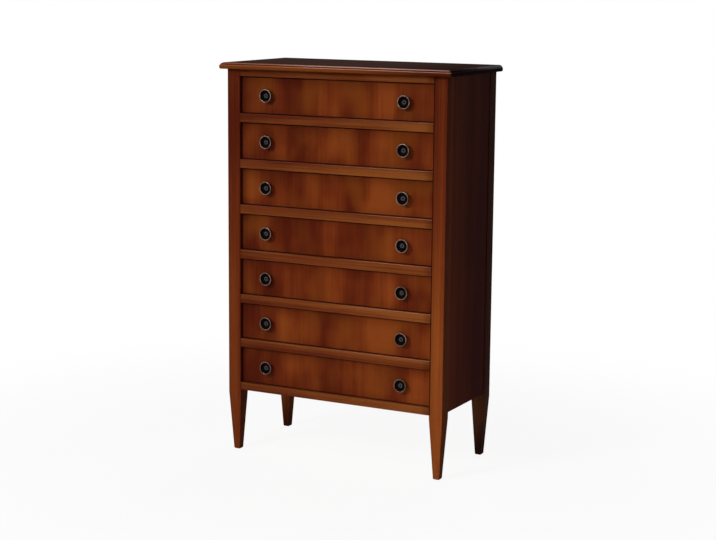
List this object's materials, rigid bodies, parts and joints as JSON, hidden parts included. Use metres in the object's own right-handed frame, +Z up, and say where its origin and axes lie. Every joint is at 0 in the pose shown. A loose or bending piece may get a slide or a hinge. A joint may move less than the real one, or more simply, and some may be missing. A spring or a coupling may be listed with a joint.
{
  "type": "semainier",
  "caption": "Tall narrow chest of equal inset drawers with round dished knobs, a moulded top and square tapered legs, in red-brown stained wood.",
  "frame": {"origin": "on the floor, under the centre of the top panel, which sets the width and depth", "axes": "+X to the right of someone facing the drawers, +Y towards the back, +Z up"},
  "size_m": [0.782, 0.387, 1.232],
  "materials": {
    "stained_cherry": "satin lacquer over red-brown stain",
    "stained_cherry_panel": "satin lacquer over red-brown stain",
    "stained_cherry_top": "satin lacquer over red-brown stain",
    "cherry_veneer": "satin lacquer over upright cherry veneer",
    "beech": "planed, unfinished",
    "drawer_beech": "sanded, clear sealed",
    "drawer_plywood": "sanded, clear sealed",
    "back_plywood": "thin brown stain",
    "antique_bronze": "antiqued, dark in the dish and rubbed pale on the rim",
    "zinc_steel": "zinc plated"
  },
  "bodies": {
    "case": {"top_panel": "stained_cherry_top", "front_left_post": "stained_cherry", "front_right_post": "stained_cherry", "back_left_post": "stained_cherry", "back_right_post": "stained_cherry", "side_panel_left": "stained_cherry_panel", "side_panel_right": "stained_cherry_panel", "back_panel": "back_plywood", "top_rail": "stained_cherry", "bottom_rail": "stained_cherry", "drawer_dividers": "stained_cherry", "back_rails": "beech", "drawer_runners": "beech", "drawer_guides": "beech", "drawer_stops": "beech", "kickers": "beech", "top_screws": "zinc_steel", "back_panel_screws": "zinc_steel"},
    "drawer_1": {"drawer_1_front": "cherry_veneer", "drawer_1_sides": "drawer_beech", "drawer_1_back": "drawer_beech", "drawer_1_bottom": "drawer_plywood", "drawer_1_knobs": "antique_bronze", "drawer_1_knob_screws": "zinc_steel"},
    "drawer_2": {"drawer_2_front": "cherry_veneer", "drawer_2_sides": "drawer_beech", "drawer_2_back": "drawer_beech", "drawer_2_bottom": "drawer_plywood", "drawer_2_knobs": "antique_bronze", "drawer_2_knob_screws": "zinc_steel"},
    "drawer_3": {"drawer_3_front": "cherry_veneer", "drawer_3_sides": "drawer_beech", "drawer_3_back": "drawer_beech", "drawer_3_bottom": "drawer_plywood", "drawer_3_knobs": "antique_bronze", "drawer_3_knob_screws": "zinc_steel"},
    "drawer_4": {"drawer_4_front": "cherry_veneer", "drawer_4_sides": "drawer_beech", "drawer_4_back": "drawer_beech", "drawer_4_bottom": "drawer_plywood", "drawer_4_knobs": "antique_bronze", "drawer_4_knob_screws": "zinc_steel"},
    "drawer_5": {"drawer_5_front": "cherry_veneer", "drawer_5_sides": "drawer_beech", "drawer_5_back": "drawer_beech", "drawer_5_bottom": "drawer_plywood", "drawer_5_knobs": "antique_bronze", "drawer_5_knob_screws": "zinc_steel"},
    "drawer_6": {"drawer_6_front": "cherry_veneer", "drawer_6_sides": "drawer_beech", "drawer_6_back": "drawer_beech", "drawer_6_bottom": "drawer_plywood", "drawer_6_knobs": "antique_bronze", "drawer_6_knob_screws": "zinc_steel"},
    "drawer_7": {"drawer_7_front": "cherry_veneer", "drawer_7_sides": "drawer_beech", "drawer_7_back": "drawer_beech", "drawer_7_bottom": "drawer_plywood", "drawer_7_knobs": "antique_bronze", "drawer_7_knob_screws": "zinc_steel"}
  },
  "joints": [
    {"name": "drawer_1_slide", "type": "slide", "parent": "case", "child": "drawer_1", "axis": [0, -1, 0], "range_m": [0, 0.24]},
    {"name": "drawer_2_slide", "type": "slide", "parent": "case", "child": "drawer_2", "axis": [0, -1, 0], "range_m": [0, 0.24]},
    {"name": "drawer_3_slide", "type": "slide", "parent": "case", "child": "drawer_3", "axis": [0, -1, 0], "range_m": [0, 0.24]},
    {"name": "drawer_4_slide", "type": "slide", "parent": "case", "child": "drawer_4", "axis": [0, -1, 0], "range_m": [0, 0.24]},
    {"name": "drawer_5_slide", "type": "slide", "parent": "case", "child": "drawer_5", "axis": [0, -1, 0], "range_m": [0, 0.24]},
    {"name": "drawer_6_slide", "type": "slide", "parent": "case", "child": "drawer_6", "axis": [0, -1, 0], "range_m": [0, 0.24]},
    {"name": "drawer_7_slide", "type": "slide", "parent": "case", "child": "drawer_7", "axis": [0, -1, 0], "range_m": [0, 0.24]}
  ]
}
